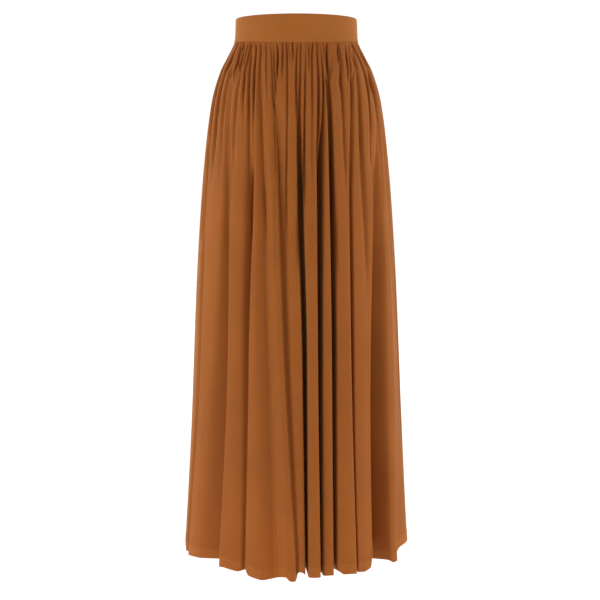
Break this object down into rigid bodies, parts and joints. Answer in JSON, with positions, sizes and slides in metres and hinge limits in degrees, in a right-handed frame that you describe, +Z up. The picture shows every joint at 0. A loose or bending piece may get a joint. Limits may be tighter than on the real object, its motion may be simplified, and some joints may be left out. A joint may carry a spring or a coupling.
{
  "type": "gathered maxi skirt",
  "caption": "Full ankle-length skirt gathered into a flat shaped waistband, hanging open in deep uneven folds.",
  "frame": {"origin": "middle of the waist opening, halfway up the waistband at its side seams", "axes": "+Z up out of the waist, -Y towards the front, +X towards the wearer's left"},
  "size_m": [0.4417, 0.4245, 1.0571],
  "materials": {
    "waistband_cloth": "smooth caramel crepe jersey with a soft sheen, doubled",
    "skirt_cloth": "smooth caramel crepe jersey with a soft sheen"
  },
  "bodies": {
    "root": {"waistband_front": "waistband_cloth", "waistband_back": "waistband_cloth", "skirt_front": "skirt_cloth", "skirt_back": "skirt_cloth"}
  },
  "joints": []
}
